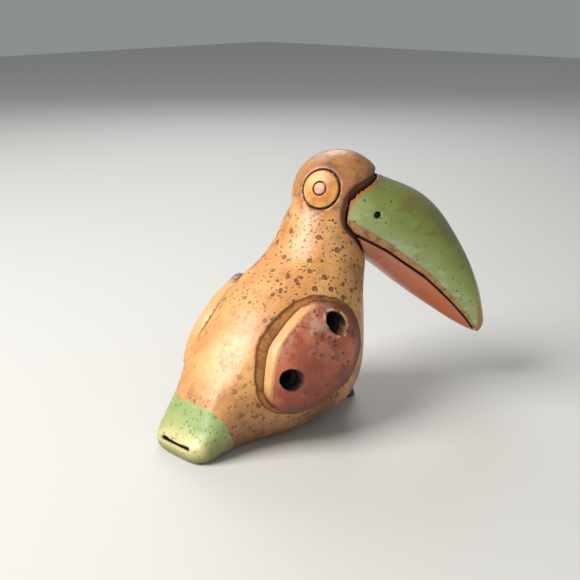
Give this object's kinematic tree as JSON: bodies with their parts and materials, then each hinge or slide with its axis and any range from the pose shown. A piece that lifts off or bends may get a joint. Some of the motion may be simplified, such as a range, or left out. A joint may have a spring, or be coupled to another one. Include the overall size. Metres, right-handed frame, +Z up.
{
  "type": "bird ocarina",
  "caption": "Hand-built clay vessel flute in the shape of a standing toucan, blown through the tail, with finger holes in the wings and the head turned to its right.",
  "frame": {"origin": "on the table, under the middle of the whole bird's box", "axes": "+X from the tail towards the chest, +Y to the bird's left, +Z up"},
  "size_m": [0.1066, 0.0631, 0.0793],
  "materials": {
    "tail_green": "burnished green slip",
    "body_clay": "burnished ochre clay with dark specks",
    "beak_green": "glossy green slip",
    "beak_coral": "glossy coral slip",
    "eye_ochre": "ochre slip",
    "pupil_pink": "pink slip",
    "wing_coral": "burnished coral slip",
    "foot_clay": "dark burnished clay"
  },
  "bodies": {
    "root": {"mouthpiece_floor": "tail_green", "mouthpiece_roof": "tail_green", "belly_shell": "body_clay", "back_shell": "body_clay", "neck_collar": "body_clay", "head": "body_clay", "upper_beak": "beak_green", "lower_beak": "beak_coral", "right_eye_ring": "eye_ochre", "left_eye_ring": "eye_ochre", "right_pupil": "pupil_pink", "left_pupil": "pupil_pink", "right_wing": "wing_coral", "left_wing": "wing_coral", "right_foot": "foot_clay", "left_foot": "foot_clay"}
  },
  "joints": []
}
